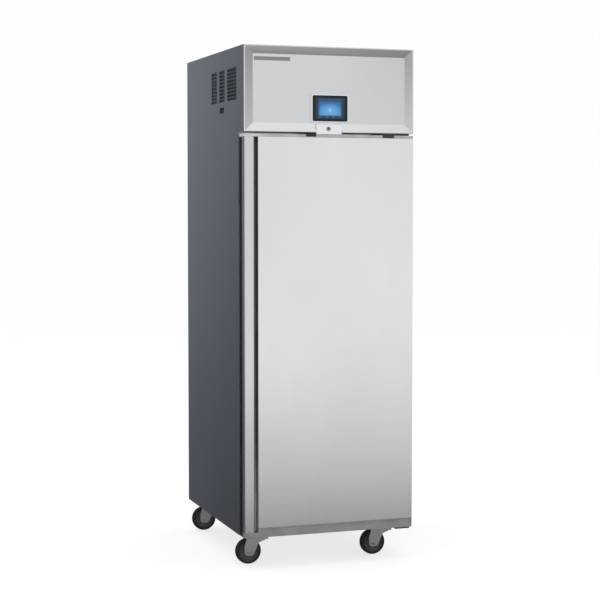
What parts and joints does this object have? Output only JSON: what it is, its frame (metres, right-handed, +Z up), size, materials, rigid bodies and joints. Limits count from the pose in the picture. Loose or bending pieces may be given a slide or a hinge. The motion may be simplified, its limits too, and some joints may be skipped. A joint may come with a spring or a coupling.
{
  "type": "reach in refrigerator",
  "caption": "Upright one-section reach-in refrigerator with a solid hinged door, touchscreen header, top-mounted condensing unit, wire shelves and swivel casters.",
  "frame": {"origin": "on the floor, under the middle of the whole object's box", "axes": "+X to the object's right seen from the front, +Y towards its back, +Z up; the door faces -Y"},
  "size_m": [0.696, 0.845, 2.019],
  "materials": {
    "stainless": "brushed stainless steel, fine grain",
    "side_steel": "brushed steel, darker side sheet",
    "galvanised": "galvanised sheet",
    "zinc": "zinc-plated steel, satin",
    "aluminium": "satin aluminium",
    "fin_aluminium": "thin raw aluminium fins",
    "copper": "bare copper tube",
    "black_plastic": "fine matt moulded plastic",
    "grey_plastic": "satin moulded plastic",
    "silver_plastic": "silver-grey moulded plastic, satin",
    "gasket_rubber": "soft magnetic gasket vinyl",
    "liner": "smooth white liner",
    "foam": "foamed polyurethane",
    "black_paint": "satin black paint",
    "screen": "lit colour screen behind smooth cover",
    "lens": "opal light cover",
    "coated_wire": "epoxy-coated wire",
    "wheel_rubber": "black rubber tread on a dark grey plastic core"
  },
  "bodies": {
    "cabinet": {"left_side_panel": "side_steel", "right_side_panel": "side_steel", "back_panel": "galvanised", "rear_grille": "galvanised", "base_pan": "galvanised", "face_frame": "stainless", "breaker_frame": "grey_plastic", "cabinet_foam": "foam", "inner_liner": "liner", "power_inlet": "black_plastic", "header_front_panel": "stainless", "header_deck": "galvanised", "nameplate": "grey_plastic", "display_bezel": "black_plastic", "display_screen": "screen", "lock_plate": "stainless", "door_sensor": "black_plastic", "top_hinge": "black_paint", "bottom_hinge": "black_paint", "compressor": "black_paint", "condenser_coil": "fin_aluminium", "condenser_shroud": "black_paint", "condenser_motor": "zinc", "liquid_line": "copper", "suction_line": "copper", "electrical_box": "galvanised", "evaporator_cover": "liner", "evaporator_coil": "fin_aluminium", "evaporator_motor": "black_paint", "interior_light": "lens", "pilaster_front_left": "stainless", "pilaster_rear_left": "stainless", "pilaster_front_right": "stainless", "pilaster_rear_right": "stainless", "caster_rail_left": "galvanised", "caster_rail_right": "galvanised"},
    "door": {"door_skin": "stainless", "door_handle": "aluminium", "door_foam": "foam", "door_liner": "grey_plastic", "door_gasket": "gasket_rubber", "door_top_cap": "silver_plastic", "door_bottom_cap": "silver_plastic", "sensor_magnet": "black_plastic"},
    "lock_barrel": {"lock": "zinc"},
    "condenser_blades": {"condenser_fan": "aluminium"},
    "evaporator_blades": {"evaporator_fan": "black_plastic"},
    "lower_shelf": {"shelf_lower": "coated_wire"},
    "middle_shelf": {"shelf_middle": "coated_wire"},
    "upper_shelf": {"shelf_upper": "coated_wire"},
    "caster_front_left": {"fork_front_left": "zinc"},
    "roller_front_left": {"wheel_front_left": "wheel_rubber"},
    "brake_left": {"brake_lever_left": "black_plastic"},
    "caster_rear_left": {"fork_rear_left": "zinc"},
    "roller_rear_left": {"wheel_rear_left": "wheel_rubber"},
    "caster_front_right": {"fork_front_right": "zinc"},
    "roller_front_right": {"wheel_front_right": "wheel_rubber"},
    "brake_right": {"brake_lever_right": "black_plastic"},
    "caster_rear_right": {"fork_rear_right": "zinc"},
    "roller_rear_right": {"wheel_rear_right": "wheel_rubber"}
  },
  "joints": [
    {"name": "door_hinge", "type": "hinge", "parent": "cabinet", "child": "door", "pos_m": [0.33, -0.386, 0.905], "axis": [0, 0, 1], "range_deg": [0, 120]},
    {"name": "lock_turn", "type": "hinge", "parent": "cabinet", "child": "lock_barrel", "pos_m": [-0.006, -0.405, 1.704], "axis": [0, 1, 0], "range_deg": [0, 90]},
    {"name": "condenser_fan_spin", "type": "hinge", "parent": "cabinet", "child": "condenser_blades", "pos_m": [0.105, -0.243, 1.82575], "axis": [0, 1, 0], "continuous": true},
    {"name": "evaporator_fan_spin", "type": "hinge", "parent": "cabinet", "child": "evaporator_blades", "pos_m": [0, -0.085, 1.457], "axis": [0, 0, 1], "continuous": true},
    {"name": "lower_shelf_lift", "type": "slide", "parent": "cabinet", "child": "lower_shelf", "axis": [0, 0, 1], "range_m": [0, 0.03]},
    {"name": "middle_shelf_lift", "type": "slide", "parent": "cabinet", "child": "middle_shelf", "axis": [0, 0, 1], "range_m": [0, 0.03]},
    {"name": "upper_shelf_lift", "type": "slide", "parent": "cabinet", "child": "upper_shelf", "axis": [0, 0, 1], "range_m": [0, 0.03]},
    {"name": "swivel_front_left", "type": "hinge", "parent": "cabinet", "child": "caster_front_left", "pos_m": [-0.262, -0.2945, 0.11], "axis": [0, 0, 1], "continuous": true},
    {"name": "roll_front_left", "type": "hinge", "parent": "caster_front_left", "child": "roller_front_left", "pos_m": [-0.296, -0.2945, 0.0508], "axis": [0, 1, 0], "continuous": true},
    {"name": "brake_press_left", "type": "hinge", "parent": "caster_front_left", "child": "brake_left", "pos_m": [-0.225, -0.2945, 0.104], "axis": [0, 1, 0], "range_deg": [0, 12]},
    {"name": "swivel_rear_left", "type": "hinge", "parent": "cabinet", "child": "caster_rear_left", "pos_m": [-0.262, 0.3675, 0.11], "axis": [0, 0, 1], "continuous": true},
    {"name": "roll_rear_left", "type": "hinge", "parent": "caster_rear_left", "child": "roller_rear_left", "pos_m": [-0.296, 0.3675, 0.0508], "axis": [0, 1, 0], "continuous": true},
    {"name": "swivel_front_right", "type": "hinge", "parent": "cabinet", "child": "caster_front_right", "pos_m": [0.262, -0.2945, 0.11], "axis": [0, 0, 1], "continuous": true},
    {"name": "roll_front_right", "type": "hinge", "parent": "caster_front_right", "child": "roller_front_right", "pos_m": [0.228, -0.2945, 0.0508], "axis": [0, 1, 0], "continuous": true},
    {"name": "brake_press_right", "type": "hinge", "parent": "caster_front_right", "child": "brake_right", "pos_m": [0.299, -0.2945, 0.104], "axis": [0, 1, 0], "range_deg": [0, 12]},
    {"name": "swivel_rear_right", "type": "hinge", "parent": "cabinet", "child": "caster_rear_right", "pos_m": [0.262, 0.3675, 0.11], "axis": [0, 0, 1], "continuous": true},
    {"name": "roll_rear_right", "type": "hinge", "parent": "caster_rear_right", "child": "roller_rear_right", "pos_m": [0.228, 0.3675, 0.0508], "axis": [0, 1, 0], "continuous": true}
  ]
}
